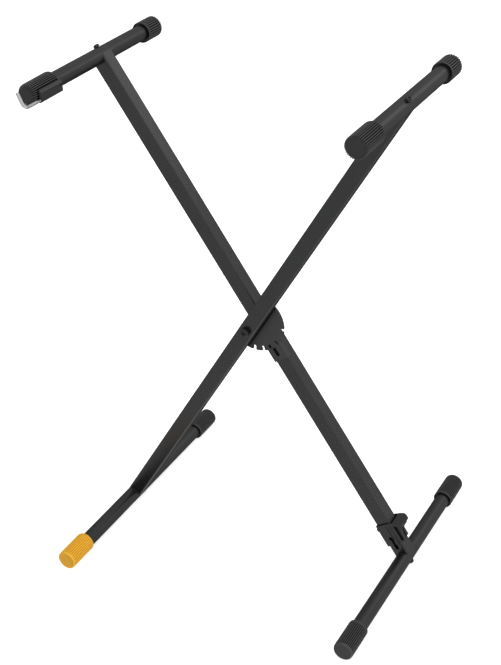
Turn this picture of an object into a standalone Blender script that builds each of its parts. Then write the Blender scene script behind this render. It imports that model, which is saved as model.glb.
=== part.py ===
"""Folding single-brace keyboard stand: two crossed square legs, round arms and base bars.

Units are metres, +Z up, +X to the right seen from the front, +Y to the back.
The origin is on the floor under the middle of the object.
Two empties stand on the pivot: one turned along the front leg, one along the rear leg.
In either one local +Z runs up the leg.
"""

import math

import bmesh
import bpy
from mathutils import Vector

MM = 0.001

# ---- driving dimensions, in millimetres and degrees ----
LEAN = 32.531  # each leg's angle from the vertical
TOP_LEN = 495.1  # pivot to arm axis
BASE_LEN = 490.9  # pivot to base bar axis
BASE_CAP_R = 16.9
PIVOT_Z = BASE_LEN * math.cos(math.radians(LEAN)) + BASE_CAP_R
GAP = 0.3  # between touching pieces

LEG = 26.4  # square tube with its coat
LEG_WALL = 1.5
LEG_CORNER = 2.5
LEG_Y = 20.5  # leg middle, either side of the centre plane

BAR_R = 12.9
BAR_WALL = 1.5
BAR_SIDES = 36

ARM_CAP_R = 17.4
CAP_BORE_R = BAR_R + GAP
CAP_END = 3.0  # closed end wall
CAP_MOUTH_DEPTH = 5.0
ARM_NEAR_Y = -179.2
LEFT_ARM_NEAR_Y = -177.0
LEFT_ARM_FAR_Y = 176.3
RIGHT_ARM_FAR_Y = 165.3
LEFT_NEAR_CAP_LEN = 61.8
RIGHT_NEAR_CAP_LEN = 58.0
FAR_CAP_LEN = 40.0
BASE_NEAR_Y = -248.4
BASE_FAR_Y = 248.4
RIGHT_BASE_NEAR_Y = -241.3
BASE_CAP_LEN = 60.5
FOOT_LEN = 59.8
FOOT_R = 17.3
FOOT_OFF_X = -1.9  # the yellow foot's outside is off its bore's axis
FOOT_OFF_Z = 0.4

SCREW_R = 3.0
SCREW_HEAD_R = 5.25
SCREW_HEAD_H = 4.6
SCREW_LEN = 32.0
SCREW_HOLE_R = SCREW_R + GAP
INSERT_LEN = 34.0
BASE_INSERT_LEN = 20.0  # shorter, clear of the pedal's travel

BOLT_R = 4.0
BOLT_HEAD_R = 7.5
BOLT_HEAD_H = 7.0
BOLT_END_Y = 44.9
BOLT_HOLE_R = BOLT_R + GAP

PLATE_FRONT_Y = -1.0
PLATE_BACK_Y = 2.0
PLATE_R = 53.0
PLATE_ROOT_R = 44.0
PLATE_CUT_X = -11.0
SPACER_X = (-11.0, 14.7)
SPACER_Z = (-45.0, 49.0)
NOTCH_W = 5.0
NOTCH_ANGLES = (28.5, 47.5, 2 * LEAN, 82.5, 100.5, 118.0)

PIN_T = 47.2  # lock pin's distance from the pivot
PIN_R = 2.3
TRAVEL = 12.0
BRACKET_FRONT_Y = 5.3
BRACKET_SHEET = 1.7
BRACKET_HALF = 15.0
BRACKET_END_T = 78.0
BRACKET_WING_Y = 15.7
SLOT_HALF_W = 3.4
SLOT_T = (44.5, 70.5)

CROSS_T = 428.0
CROSS_Y = 12.6
CROSS_R = 2.5
CROSS_HEAD_R = 4.4
ROD_R = 2.5
SLEEVE_T = (418.0, 460.0)
SLEEVE_IN = 13.55  # half the bore's width
SLEEVE_LEFT = -15.2
SLEEVE_RIGHT = 16.6
SLEEVE_FRONT_Y = 4.3
SLEEVE_BACK_Y = 36.1
SLEEVE_BULGE = (8.0, 8.7)  # middle of the sleeve's large round corner, front right
FRONT_SLOT_T = (446.0, 472.0)
FRONT_SLOT_HALF_W = 3.2

CLIP_Y = (-169.5, -117.3)
KEY_AF = 5.0
KEY_X = 19.5  # long arm's axis from the arm's axis
KEY_Z = -6.8
KEY_BEND_Y = -207.6
KEY_LONG_END_Y = -127.0
KEY_SHORT = 25.5
KEY_TURN = 22.5  # short arm's lean from the vertical
KEY_BEND_R = 10.0

LEAN_R = math.radians(LEAN)


# ---- helpers ----
def clear_scene():
    for obj in list(bpy.data.objects):
        bpy.data.objects.remove(obj, do_unlink=True)


def material(name, colour, rough, metal=0.0):
    mat = bpy.data.materials.new(name)
    mat.use_nodes = True
    shader = mat.node_tree.nodes["Principled BSDF"]
    shader.inputs["Base Color"].default_value = (*colour, 1.0)
    shader.inputs["Roughness"].default_value = rough
    shader.inputs["Metallic"].default_value = metal
    return mat


def empty(name, location=(0, 0, 0), turn_y=0.0, parent=None):
    obj = bpy.data.objects.new(name, None)
    obj.empty_display_size = 0.03
    bpy.context.scene.collection.objects.link(obj)
    obj.parent = parent
    obj.location = Vector(location) * MM
    obj.rotation_euler = (0, turn_y, 0)
    return obj


def place(name, bm, parent, mat, location=(0, 0, 0), turn=(0, 0, 0)):
    """Makes a bmesh in millimetres into a named object in metres."""
    bmesh.ops.recalc_face_normals(bm, faces=bm.faces[:])
    bmesh.ops.scale(bm, vec=(MM, MM, MM), verts=bm.verts[:])
    mesh = bpy.data.meshes.new(name)
    bm.to_mesh(mesh)
    bm.free()
    obj = bpy.data.objects.new(name, mesh)
    bpy.context.scene.collection.objects.link(obj)
    obj.parent = parent
    obj.location = Vector(location) * MM
    obj.rotation_euler = turn
    if mat is not None:
        mesh.materials.append(mat)
        mesh.shade_smooth()
        mesh.set_sharp_from_angle(angle=math.radians(32))
    return obj


def on_axis(axis, a, b, h):
    """A point at height h along the axis, with a and b across it."""
    return {"Y": (a, h, b), "Z": (a, b, h), "X": (h, a, b)}[axis]


def skin(bm, rings, closed_ring=True, loop=False):
    """Faces between rings of vertices; a ring of one vertex is a point."""
    pairs = list(zip(rings, rings[1:] + rings[:1])) if loop else list(zip(rings, rings[1:]))
    for one, two in pairs:
        count = max(len(one), len(two))
        for k in range(count):
            n = (k + 1) % count
            corners = [one[k % len(one)], one[n % len(one)], two[n % len(two)], two[k % len(two)]]
            unique = []
            for vert in corners:
                if vert not in unique:
                    unique.append(vert)
            bm.faces.new(unique)


def turned(profile, sides=24, axis="Y", facets_down=True, loop=False, centre=(0, 0)):
    """A turned body. The profile holds (radius, height), or (radius, height, dx, dz) off the axis.

    A radius may be a function of the angle. With facets_down a flat facet lies straight down,
    and the radius is the distance to the middle of a facet.
    """
    bm = bmesh.new()
    rings = []
    step = 2 * math.pi / sides
    for point in profile:
        radius, height = point[0], point[1]
        dx, dz = (point[2], point[3]) if len(point) > 2 else (0, 0)
        if not callable(radius) and radius == 0:
            rings.append([bm.verts.new(on_axis(axis, centre[0] + dx, centre[1] + dz, height))])
            continue
        ring = []
        for k in range(sides):
            angle = step * (k + (0.5 if facets_down else 0.0))
            r = radius(angle) if callable(radius) else radius
            if facets_down:
                r = r / math.cos(step / 2)
            a = centre[0] + dx + r * math.sin(angle)
            b = centre[1] + dz + r * math.cos(angle)
            ring.append(bm.verts.new(on_axis(axis, a, b, height)))
        rings.append(ring)
    skin(bm, rings, loop=loop)
    return bm


def hexagon(across_flats):
    """Radius of a hexagon as a function of the angle, with a corner at angle 0."""

    def radius(angle):
        inside = math.fmod(angle, math.pi / 3) - math.pi / 6
        return across_flats / 2 / math.cos(inside)

    return radius


def prism(outline, low, high, axis="Y"):
    bm = bmesh.new()
    rings = [[bm.verts.new(on_axis(axis, a, b, h)) for a, b in outline] for h in (low, high)]
    skin(bm, rings)
    bm.faces.new(rings[0])
    bm.faces.new(rings[1])
    return bm


def frame_prism(outer, inner, low, high, axis="Z"):
    """A tube whose outer and inner outlines have the same number of points."""
    bm = bmesh.new()
    rings = []
    for outline, height in ((outer, low), (outer, high), (inner, high), (inner, low)):
        rings.append([bm.verts.new(on_axis(axis, a, b, height)) for a, b in outline])
    skin(bm, rings, loop=True)
    return bm


def rounded_square(half_a, half_b, radius, steps=4, centre=(0, 0)):
    points = []
    for ca, cb, start in ((1, 1, 0), (-1, 1, 90), (-1, -1, 180), (1, -1, 270)):
        for k in range(steps + 1):
            angle = math.radians(start + 90 * k / steps)
            points.append((
                centre[0] + ca * (half_a - radius) + radius * math.cos(angle),
                centre[1] + cb * (half_b - radius) + radius * math.sin(angle),
            ))
    return points


def slot_outline(half_w, low, high, steps=6):
    """A slot with round ends along the second coordinate."""
    points = []
    for end, start in ((high - half_w, 0), (low + half_w, 180)):
        for k in range(steps + 1):
            angle = math.radians(start + 180 * k / steps)
            points.append((half_w * math.cos(angle), end + half_w * math.sin(angle)))
    return points


def cutter(name, bm, parent, location=(0, 0, 0), turn=(0, 0, 0)):
    obj = place(name, bm, parent, None, location, turn)
    obj.hide_render = True
    obj.display_type = "WIRE"
    return obj


def boolean(obj, other, operation="DIFFERENCE"):
    modifier = obj.modifiers.new(f"{operation.lower()}_{other.name}"[:60], "BOOLEAN")
    modifier.object = other
    modifier.operation = operation
    modifier.solver = "EXACT"


def round_cutter(name, radius, low, high, axis, parent, location=(0, 0, 0), turn=(0, 0, 0), sides=24):
    return cutter(name, turned([(0, low), (radius, low), (radius, high), (0, high)], sides, axis),
                  parent, location, turn)


clear_scene()

leg_coat = material("leg_coat", (0.012, 0.013, 0.014), 0.38)
bar_coat = material("bar_coat", (0.012, 0.013, 0.014), 0.36)
plate_coat = material("plate_coat", (0.012, 0.012, 0.013), 0.4)
cap_rubber = material("cap_rubber", (0.014, 0.014, 0.014), 0.6)
foot_rubber = material("foot_rubber", (0.73, 0.40, 0.04), 0.5)
screw_black = material("screw_black", (0.02, 0.02, 0.022), 0.35, 1.0)
bright_steel = material("bright_steel", (0.6, 0.6, 0.6), 0.25, 1.0)
zinc_steel = material("zinc_steel", (0.5, 0.5, 0.48), 0.35, 1.0)
moulded_black = material("moulded_black", (0.014, 0.014, 0.015), 0.45)
nylon = material("nylon", (0.6, 0.6, 0.57), 0.5)

front = empty("front_frame_pivot", (0, 0, PIVOT_Z), LEAN_R)
rear = empty("rear_frame_pivot", (0, 0, PIVOT_Z), -LEAN_R)
# Along each bar the axes are upright again, so that its facets lie level.
front_top = empty("right_arm_axis", (0, 0, TOP_LEN), -LEAN_R, front)
front_base = empty("left_base_axis", (0, 0, -BASE_LEN), -LEAN_R, front)
rear_top = empty("left_arm_axis", (0, 0, TOP_LEN), LEAN_R, rear)
rear_base = empty("right_base_axis", (0, 0, -BASE_LEN), LEAN_R, rear)
release = empty("foot_release_slide", (0, LEG_Y, 0), 0.0, rear)


# ---- legs: square tubes, coped round the bars, with plugs in their ends ----
HALF = LEG / 2
INNER = HALF - LEG_WALL
COPE_R = BAR_R + GAP + 0.05


def leg(name, parent, y, hole_r):
    bm = frame_prism(
        rounded_square(HALF, HALF, LEG_CORNER, 4, (0, y)),
        rounded_square(INNER, INNER, LEG_CORNER - LEG_WALL, 4, (0, y)),
        -BASE_LEN, TOP_LEN)
    obj = place(name, bm, parent, leg_coat)
    for end, z in (("top", TOP_LEN), ("base", -BASE_LEN)):
        boolean(obj, round_cutter(f"{name}_{end}_cope", COPE_R, y - 20, y + 20, "Y", parent, (0, 0, z), sides=36))
    boolean(obj, round_cutter(f"{name}_pivot_hole", hole_r, y - 20, y + 20, "Y", parent))
    return obj


def leg_insert(name, parent, y, end_z, length):
    sign = 1 if end_z > 0 else -1
    low, high = sorted((end_z, end_z - sign * length))
    bm = prism(rounded_square(INNER - GAP, INNER - GAP, 0.8, 2, (0, y)), low, high, "Z")
    obj = place(name, bm, parent, zinc_steel)
    boolean(obj, round_cutter(f"{name}_cope", COPE_R, y - 20, y + 20, "Y", parent, (0, 0, end_z), sides=36))
    boolean(obj, round_cutter(f"{name}_bore", SCREW_HOLE_R, low - 5, high + 5, "Z", parent, (0, y, 0), sides=16))
    return obj


SLEEVE_R = 5.6
BUSH_R = 6.5
front_leg = leg("front_leg_tube", front, -LEG_Y, SLEEVE_R + GAP)
rear_leg = leg("rear_leg_tube", rear, LEG_Y, BUSH_R + GAP)
leg_insert("front_leg_top_insert", front, -LEG_Y, TOP_LEN, INSERT_LEN)
leg_insert("front_leg_base_insert", front, -LEG_Y, -BASE_LEN, BASE_INSERT_LEN)
leg_insert("rear_leg_top_insert", rear, LEG_Y, TOP_LEN, INSERT_LEN)
leg_insert("rear_leg_base_insert", rear, LEG_Y, -BASE_LEN, BASE_INSERT_LEN)

REAR_FRONT_Y = LEG_Y - HALF
boolean(rear_leg, cutter("lock_slot_cut", prism(
    slot_outline(SLOT_HALF_W + 0.2, -SLOT_T[1] - 0.3, -SLOT_T[0] + 0.3), REAR_FRONT_Y - 2, REAR_FRONT_Y + 4), rear))
boolean(rear_leg, cutter("pedal_slot_cut", prism(
    slot_outline(FRONT_SLOT_HALF_W, -FRONT_SLOT_T[1], -FRONT_SLOT_T[0]), REAR_FRONT_Y - 2, REAR_FRONT_Y + 4), rear))
boolean(rear_leg, cutter("cross_slot_cut", prism(
    [(CROSS_Y + a, b) for a, b in slot_outline(CROSS_R + GAP, -CROSS_T - TRAVEL - CROSS_R - GAP - 0.2,
                                             -CROSS_T + CROSS_R + GAP + 0.2)],
    -HALF - 4, HALF + 4, "X"), rear))


# ---- round bars, their caps and their screws ----
def bar(name, parent, low, high):
    bm = turned([(BAR_R, low), (BAR_R, high), (BAR_R - BAR_WALL, high), (BAR_R - BAR_WALL, low)],
                BAR_SIDES, "Y", loop=True)
    return place(name, bm, parent, bar_coat)


def cap_profile(radius, length, end_y, rim, mouth_r, dx=0.0, dz=0.0):
    """From the closed end at end_y; length is positive towards the middle of the bar."""
    sign = 1 if length > 0 else -1
    inner_y = end_y + length
    points = [(0, end_y, dx, dz)]
    for k in range(4):
        angle = math.radians(90 * k / 3)
        points.append((radius - rim + rim * math.sin(angle), end_y + sign * rim * (1 - math.cos(angle)), dx, dz))
    points += [
        (radius, inner_y - sign * 0.6, dx, dz),
        (radius - 0.6, inner_y, dx, dz),
        (mouth_r, inner_y),
        (mouth_r, inner_y - sign * CAP_MOUTH_DEPTH),
        (CAP_BORE_R, inner_y - sign * CAP_MOUTH_DEPTH),
        (CAP_BORE_R, end_y + sign * CAP_END),
        (0, end_y + sign * CAP_END),
    ]
    return points


def cap(name, parent, radius, end_y, length, rim, mouth_r, mat=None, dx=0.0, dz=0.0):
    bm = turned(cap_profile(radius, length, end_y, rim, mouth_r, dx, dz), BAR_SIDES, "Y")
    return place(name, bm, parent, mat or cap_rubber)


def button_screw(name, parent, location, turn=(0, 0, 0)):
    """Domed screw with a hexagon socket along local Z, its head above z = 0."""
    profile = [
        (0, -SCREW_LEN), (SCREW_R - 0.6, -SCREW_LEN), (SCREW_R, -SCREW_LEN + 0.6), (SCREW_R, 0),
        (SCREW_HEAD_R, 0), (SCREW_HEAD_R, 0.9), (SCREW_HEAD_R - 0.25, 2.4), (SCREW_HEAD_R - 1.05, 3.7),
        (2.6, SCREW_HEAD_H), (hexagon(4.0), SCREW_HEAD_H), (hexagon(4.0), 1.6), (0, 1.6),
    ]
    return place(name, turned(profile, 24, "Z", facets_down=False), parent, screw_black, location, turn)


def screw_hole(obj, name, parent, y, z):
    boolean(obj, round_cutter(name, SCREW_HOLE_R, -20, 20, "Z", parent, (0, y, z), sides=16))


END = CAP_END + GAP
HEAD_SEAT = BAR_R + GAP + 0.1
UPSIDE = (math.pi, 0, 0)

right_arm = bar("right_arm_tube", front_top, ARM_NEAR_Y + END, RIGHT_ARM_FAR_Y - END)
screw_hole(right_arm, "right_arm_hole", front, -LEG_Y, TOP_LEN)
cap("right_arm_cap_near", front_top, ARM_CAP_R, ARM_NEAR_Y, RIGHT_NEAR_CAP_LEN, 2.0, 15.6)
cap("right_arm_cap_far", front_top, ARM_CAP_R, RIGHT_ARM_FAR_Y, -FAR_CAP_LEN, 3.0, 15.6)
button_screw("right_arm_screw", front, (0, -LEG_Y, TOP_LEN + HEAD_SEAT))

left_arm = bar("left_arm_tube", rear_top, LEFT_ARM_NEAR_Y + END, LEFT_ARM_FAR_Y - END)
screw_hole(left_arm, "left_arm_hole", rear, LEG_Y, TOP_LEN)
left_near_cap = cap("left_arm_cap_near", rear_top, ARM_CAP_R, LEFT_ARM_NEAR_Y, LEFT_NEAR_CAP_LEN, 3.0, 15.6)
cap("left_arm_cap_far", rear_top, ARM_CAP_R, LEFT_ARM_FAR_Y, -FAR_CAP_LEN, 3.0, 15.6)
button_screw("left_arm_screw", rear, (0, LEG_Y, TOP_LEN + HEAD_SEAT))

left_base = bar("left_base_tube", front_base, BASE_NEAR_Y + END, BASE_FAR_Y - END)
screw_hole(left_base, "left_base_hole", front, -LEG_Y, -BASE_LEN)
cap("left_base_cap_far", front_base, BASE_CAP_R, BASE_FAR_Y, -BASE_CAP_LEN, 3.0, 15.4)
button_screw("left_base_screw", front, (0, -LEG_Y, -BASE_LEN - HEAD_SEAT), UPSIDE)

right_base = bar("right_base_tube", rear_base, RIGHT_BASE_NEAR_Y + END, BASE_FAR_Y - END)
screw_hole(right_base, "right_base_hole", rear, LEG_Y, -BASE_LEN)
cap("right_base_cap_near", rear_base, BASE_CAP_R, RIGHT_BASE_NEAR_Y, BASE_CAP_LEN, 3.0, 15.4)
cap("right_base_cap_far", rear_base, BASE_CAP_R, BASE_FAR_Y, -BASE_CAP_LEN, 3.0, 15.4)
button_screw("right_base_screw", rear, (0, LEG_Y, -BASE_LEN - HEAD_SEAT), UPSIDE)

# The foot turns round the left base bar. Its outside is off the bar's axis, so turning it lifts the corner.
foot_axis = empty("level_foot_axis", (0, 0, 0), 0.0, front_base)
cap("level_foot_cap", foot_axis, FOOT_R, BASE_NEAR_Y, FOOT_LEN, 2.0, 14.3, foot_rubber, FOOT_OFF_X, FOOT_OFF_Z)


# ---- pivot ----
FRONT_FACE_Y = -LEG_Y - HALF
FRONT_BACK_Y = -LEG_Y + HALF
REAR_BACK_Y = LEG_Y + HALF


def ring(name, parent, mat, outer, inner, low, high, sides=24):
    bm = turned([(outer, low), (outer, high), (inner, high), (inner, low)], sides, "Y", loop=True)
    return place(name, bm, parent, mat)


head_y = FRONT_FACE_Y - GAP
bolt_profile = [
    (0, BOLT_END_Y), (BOLT_R - 0.8, BOLT_END_Y), (BOLT_R, BOLT_END_Y - 0.8), (BOLT_R, head_y),
    (BOLT_HEAD_R, head_y), (BOLT_HEAD_R, head_y - BOLT_HEAD_H + 0.9), (BOLT_HEAD_R - 1.0, head_y - BOLT_HEAD_H),
    (hexagon(6.0), head_y - BOLT_HEAD_H), (hexagon(6.0), head_y - BOLT_HEAD_H + 2.0),
    (0, head_y - BOLT_HEAD_H + 2.0),
]
place("pivot_bolt", turned(bolt_profile, 24, "Y", facets_down=False), front, zinc_steel)
ring("front_pivot_sleeve", front, zinc_steel, SLEEVE_R, BOLT_HOLE_R, FRONT_FACE_Y + GAP, FRONT_BACK_Y - GAP)
ring("rear_pivot_bush", rear, nylon, BUSH_R, BOLT_HOLE_R, REAR_FRONT_Y + GAP, REAR_BACK_Y - GAP)
ring("pivot_washer", front, nylon, 11.0, BOLT_HOLE_R, PLATE_BACK_Y + GAP, REAR_FRONT_Y - GAP)
ring("pivot_rear_washer", front, zinc_steel, 9.5, BOLT_HOLE_R, REAR_BACK_Y + GAP, REAR_BACK_Y + GAP + 1.6)
nut_low = REAR_BACK_Y + 2 * GAP + 1.6
place("pivot_lock_nut", turned(
    [(hexagon(13.0), nut_low), (hexagon(13.0), nut_low + 6.2), (6.0, nut_low + 6.2), (5.4, nut_low + 7.6),
     (BOLT_HOLE_R, nut_low + 7.6), (BOLT_HOLE_R, nut_low)], 24, "Y", facets_down=False, loop=True), front, zinc_steel)

spacer = place("plate_spacer", prism(
    rounded_square((SPACER_X[1] - SPACER_X[0]) / 2, (SPACER_Z[1] - SPACER_Z[0]) / 2, 2.0, 3,
                   (sum(SPACER_X) / 2, sum(SPACER_Z) / 2)), FRONT_BACK_Y + GAP, PLATE_FRONT_Y - GAP), front, plate_coat)
boolean(spacer, round_cutter("spacer_hole", BOLT_HOLE_R, -12, 4, "Y", front, sides=16))


# ---- lock plate: a little over half a disc, notched for the pin ----
def polar(angle_deg, radius, across=0.0):
    """Angle from the front leg's lower half towards its right side; across is along the arc."""
    angle = math.radians(angle_deg)
    return (radius * math.sin(angle) + across * math.cos(angle),
            -radius * math.cos(angle) + across * math.sin(angle))


def plate_outline():
    half = NOTCH_W / 2
    lip = 1.1
    points = []
    start = math.degrees(math.asin(PLATE_CUT_X / PLATE_R))
    marks = [start]
    for middle in NOTCH_ANGLES:
        spread = math.degrees(math.asin((half + lip) / PLATE_R))
        marks += [middle - spread, middle + spread]
    marks.append(180 - start)
    for k in range(0, len(marks), 2):
        a, b = marks[k], marks[k + 1]
        count = max(1, round((b - a) / 6))
        for j in range(count + 1):
            points.append(polar(a + (b - a) * j / count, PLATE_R))
        if k + 2 < len(marks):
            middle = NOTCH_ANGLES[k // 2]
            points.append(polar(middle, PLATE_R - 1.3, -half))
            for j in range(7):
                angle = math.pi * j / 6
                points.append(polar(middle, PLATE_ROOT_R + half - half * math.sin(angle), -half * math.cos(angle)))
            points.append(polar(middle, PLATE_R - 1.3, half))
    return points


plate = place("lock_plate", prism(plate_outline(), PLATE_FRONT_Y, PLATE_BACK_Y), front, plate_coat)
boolean(plate, round_cutter("plate_hole", BOLT_HOLE_R, -4, 12, "Y", front, sides=16))


# ---- guide bracket: a channel on the rear leg's front, round at its upper end ----
wing_in = HALF + GAP
channel = [
    (-BRACKET_HALF, BRACKET_FRONT_Y), (BRACKET_HALF, BRACKET_FRONT_Y), (BRACKET_HALF, BRACKET_WING_Y),
    (wing_in, BRACKET_WING_Y), (wing_in, BRACKET_FRONT_Y + BRACKET_SHEET),
    (-wing_in, BRACKET_FRONT_Y + BRACKET_SHEET), (-wing_in, BRACKET_WING_Y), (-BRACKET_HALF, BRACKET_WING_Y),
]
bracket = place("lock_guide_bracket", prism(channel, -BRACKET_END_T, -BRACKET_END_T + 38.0, "Z"), rear, plate_coat)
arch_z = -BRACKET_END_T + 38.0 - BRACKET_HALF
arch = [(BRACKET_HALF * math.cos(math.radians(a)), arch_z + BRACKET_HALF * math.sin(math.radians(a)))
        for a in [180 - 15 * k for k in range(13)]]
arch = [(-BRACKET_HALF - 3, arch_z), *arch, (BRACKET_HALF + 3, arch_z), (BRACKET_HALF + 3, arch_z + 20), (-BRACKET_HALF - 3, arch_z + 20)]
boolean(bracket, cutter("bracket_arch_cut", prism(arch, 0, 20), rear))
boolean(bracket, cutter("bracket_slot_cut", prism(
    slot_outline(SLOT_HALF_W, -SLOT_T[1], -SLOT_T[0]), 2, 9), rear))


# ---- release: pin, carriage, rod, spring, guide, cross pin and pedal ----
CARRIAGE_T = (40.0, 75.0)
place("lock_pin", turned(
    [(0, PLATE_BACK_Y + GAP), (PIN_R - 0.4, PLATE_BACK_Y + GAP), (PIN_R, PLATE_BACK_Y + GAP + 0.4),
     (PIN_R, 24.0), (0, 24.0)], 16, "Y", centre=(0, -PIN_T)), release, bright_steel, (0, -LEG_Y, 0))
carriage = place("pin_carriage", prism(
    rounded_square(11.1, 11.1, 1.0, 2), -CARRIAGE_T[1], -CARRIAGE_T[0], "Z"), release, nylon)
boolean(carriage, round_cutter("carriage_pin_hole", PIN_R + GAP, -14, 4.2, "Y", release, (0, 0, -PIN_T), sides=16))
boolean(carriage, round_cutter("carriage_rod_hole", ROD_R + GAP, -80, -66, "Z", release, sides=16))

ROD_END_T = (417.0, 438.0)  # the block at the rod's lower end, which reaches forward to the cross pin
rod_profile = [(0, -67.0), (ROD_R, -67.0), (ROD_R, -420.0), (0, -420.0)]
rod = place("pull_rod", turned(rod_profile, 16, "Z"), release, zinc_steel)
boolean(rod, cutter("rod_block_form", prism(
    [(-5.5, 9.1 - LEG_Y), (5.5, 9.1 - LEG_Y), (5.5, 24.0 - LEG_Y), (-5.5, 24.0 - LEG_Y)],
    -ROD_END_T[1], -ROD_END_T[0], "Z"), release), "UNION")
boolean(rod, round_cutter("rod_eye", CROSS_R + GAP, -12, 12, "X", release, (0, CROSS_Y - LEG_Y, -CROSS_T), sides=16))

head_n = SLEEVE_LEFT - GAP
place("pedal_cross_pin", turned(
    [(0, head_n - 3.9), (CROSS_HEAD_R - 0.7, head_n - 3.9), (CROSS_HEAD_R, head_n - 3.2), (CROSS_HEAD_R, head_n),
     (CROSS_R, head_n), (CROSS_R, 13.5), (CROSS_R - 0.4, 13.9), (0, 13.9)], 16, "X"),
    release, screw_black, (0, CROSS_Y - LEG_Y, -CROSS_T))

GUIDE_T = (127.0, 141.0)
guide = place("rod_guide", prism(
    rounded_square(INNER - GAP, INNER - GAP, 0.8, 2, (0, LEG_Y)), -GUIDE_T[1], -GUIDE_T[0], "Z"), rear, nylon)
boolean(guide, round_cutter("guide_bore", ROD_R + GAP, -150, -120, "Z", rear, (0, LEG_Y, 0), sides=16))


def coil_spring(high, low, turns, mean_r, wire_r, per_turn=12, wire_sides=6):
    bm = bmesh.new()
    rings = []
    total = turns * per_turn
    for k in range(total + 1):
        angle = 2 * math.pi * k / per_turn
        z = high + (low - high) * k / total
        middle = Vector((mean_r * math.cos(angle), mean_r * math.sin(angle), z))
        out = Vector((math.cos(angle), math.sin(angle), 0))
        rings.append([bm.verts.new(middle + out * wire_r * math.cos(2 * math.pi * j / wire_sides)
                                   + Vector((0, 0, wire_r * math.sin(2 * math.pi * j / wire_sides))))
                      for j in range(wire_sides)])
    skin(bm, rings)
    bm.faces.new(rings[0])
    bm.faces.new(rings[-1])
    return bm


place("return_spring", coil_spring(-CARRIAGE_T[1] - 1.1, -GUIDE_T[0] + 1.1, 8, 5.4, 0.7), rear, zinc_steel, (0, LEG_Y, 0))

# The tread's profile is seen along the leg's front; its outline is seen along the leg.
TREAD_TILT = 0.466


def tread_top(n):
    return -(419.0 + TREAD_TILT * (n - HALF))


TREAD_PROFILE = [
    (10.0, tread_top(12.8)), (14.0, tread_top(14.0)), (34.0, tread_top(34.0)), (35.0, tread_top(35.0) - 1.2),
    (34.6, -433.2), (31.0, -434.8), (27.0, -436.8), (24.2, -439.6), (22.2, -443.5), (21.0, -449.0), (20.5, -455.0),
    (17.0, -460.0), (10.0, -460.0),
]
TREAD_OUTLINE = [
    (8.0, 5.9), (22.0, 5.6), (31.0, 6.2), (34.2, 8.2), (35.0, 11.2), (34.5, 17.0), (33.6, 24.0), (33.3, 33.6),
    (31.6, 37.2), (27.6, 41.2), (24.6, 42.4), (18.6, 40.9), (12.6, 37.0), (8.0, 33.0),
]
LIP = 3.6  # the tread's thickness, where it stands clear of the web


def sleeve_outline(left, right, front_y, back_y, corner, steps=4):
    """The sleeve seen along the leg: three small round corners and a large one, front right."""
    points = []
    for cn, cy, start in ((right - corner, back_y - corner, 0), (left + corner, back_y - corner, 90),
                          (left + corner, front_y + corner, 180)):
        for k in range(steps + 1):
            angle = math.radians(start + 90 * k / steps)
            points.append((cn + corner * math.cos(angle), cy + corner * math.sin(angle) - LEG_Y))
    n, y = SLEEVE_BULGE
    for k in range(2 * steps + 1):
        angle = math.radians(270 + 90 * k / (2 * steps))
        points.append((n + (right - n) * math.cos(angle), y + (y - front_y) * math.sin(angle) - LEG_Y))
    return points


def flare():
    """The bore's mouth, wider at the top than the leg."""
    bm = bmesh.new()
    low = sleeve_outline(-SLEEVE_IN + 0.05, SLEEVE_IN - 0.05, LEG_Y - SLEEVE_IN + 0.05, LEG_Y + SLEEVE_IN - 0.05, 2.8)
    high = sleeve_outline(SLEEVE_LEFT + 0.9, SLEEVE_RIGHT + 2.4, SLEEVE_FRONT_Y + 0.9, SLEEVE_BACK_Y - 1.1, 2.8)
    rings = [[bm.verts.new((a, b, height)) for a, b in outline]
             for outline, height in ((low, -426.0), (high, -417.0))]
    skin(bm, rings)
    bm.faces.new(rings[0])
    bm.faces.new(rings[1])
    return bm


def pedal_cut(name, outline, low, high):
    """Cuts the pedal with an outline seen from the front, between two depths."""
    boolean(pedal, cutter(name, prism(outline, low - LEG_Y, high - LEG_Y), release))


def under_lip(n, low_end=-475.0):
    """Everything below the tread's lip to the right of n."""
    return [(n, tread_top(n) - LIP), (40.0, tread_top(40.0) - LIP), (40.0, low_end), (n, low_end)]


pedal = place("foot_pedal", prism(
    [(a, b) for a, b in TREAD_PROFILE], 4 - LEG_Y, 44 - LEG_Y), release, moulded_black)
boolean(pedal, cutter("tread_outline_form", prism(
    [(a, b - LEG_Y) for a, b in TREAD_OUTLINE], -470, -400, "Z"), release), "INTERSECT")
pedal_cut("web_front_cut", under_lip(9.0), 0.0, 11.5)
pedal_cut("web_back_cut", under_lip(9.0), 26.5, 50.0)
boolean(pedal, cutter("sleeve_form", prism(
    sleeve_outline(SLEEVE_LEFT, SLEEVE_RIGHT, SLEEVE_FRONT_Y, SLEEVE_BACK_Y, 3.2),
    -SLEEVE_T[1] - 0.013, -SLEEVE_T[0] - 0.017, "Z"), release), "UNION")
boolean(pedal, cutter("sleeve_bore", prism(
    rounded_square(SLEEVE_IN, SLEEVE_IN, 2.8, 4), -480, -400, "Z"), release))
boolean(pedal, cutter("sleeve_flare", flare(), release))
pedal_cut("web_channel", [(14.6, -427.0), (19.0, -427.6), (19.0, -457.5), (14.6, -457.5)], 7.9, 11.8)
pedal_cut("web_slot", [(15.2, -434.0), (30.0, -434.0), (30.0, -457.0), (15.2, -457.0)], 18.6, 22.4)
pedal_cut("face_groove", [(5.4, -452.0), (6.7, -452.0), (6.7, -424.0), (5.4, -424.0)], 0.0, SLEEVE_FRONT_Y + 1.6)
pedal_cut("face_notch", [(-0.6, -462.0), (-0.6, -449.0), (-2.9, -449.5), (-2.9, -445.6), (0.4, -443.0), (4.4, -443.0),
                         (4.4, -462.0)], 0.0, 7.4)
boolean(pedal, round_cutter("cross_pin_hole", CROSS_R + GAP, -22, 14.2, "X", release, (0, CROSS_Y - LEG_Y, -CROSS_T), sides=16))


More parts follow.
